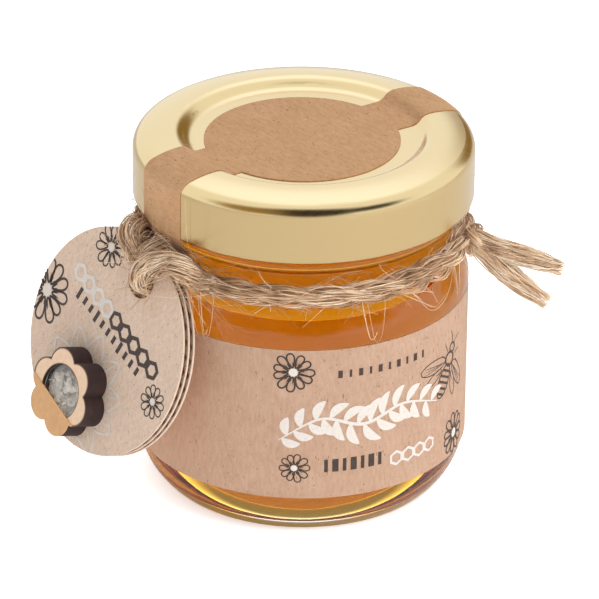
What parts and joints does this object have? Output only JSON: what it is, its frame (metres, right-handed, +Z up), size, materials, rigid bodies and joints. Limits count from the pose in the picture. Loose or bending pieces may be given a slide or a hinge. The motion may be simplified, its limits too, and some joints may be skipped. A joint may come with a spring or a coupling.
{
  "type": "jar of honey",
  "caption": "Small filled honey jar with a gold twist-off lid, kraft label and seal, jute twine tied round its neck and a round card tag with a flower-shaped box.",
  "frame": {"origin": "centre of the ring that the jar stands on, on the surface", "axes": "+Z up along the jar's axis, -Y towards the front of the label, +X towards the twine's tails, -X towards the tag"},
  "size_m": [0.0653, 0.0467, 0.0505],
  "materials": {
    "glass": "clear flint glass",
    "honey": "set amber honey seen through glass",
    "lid_gold": "satin gold lacquer on tinplate",
    "kraft_paper": "matt kraft paper",
    "twine": "hairy natural jute",
    "card": "matt kraft board",
    "fluting": "open corrugated edge",
    "flower_board": "laser-cut pale board with charred sides",
    "seeds": "pale flakes behind a film",
    "film": "clear film",
    "sticker": "orange paper sticker",
    "print_dark": "dark brown ink",
    "print_white": "white ink"
  },
  "bodies": {
    "root": {"jar": "glass", "honey": "honey", "lid": "lid_gold", "seal": "kraft_paper", "label": "kraft_paper", "twine_neck": "twine", "twine_knot": "twine", "twine_tail_upper": "twine", "twine_tail_lower": "twine", "twine_strand_front": "twine", "twine_strand_top": "twine", "tag_front_liner": "card", "tag_middle_liner": "card", "tag_back_liner": "card", "tag_front_flutes": "fluting", "tag_back_flutes": "fluting", "flower_box": "flower_board", "seeds": "seeds", "window_film": "film", "sticker": "sticker"}
  },
  "joints": []
}
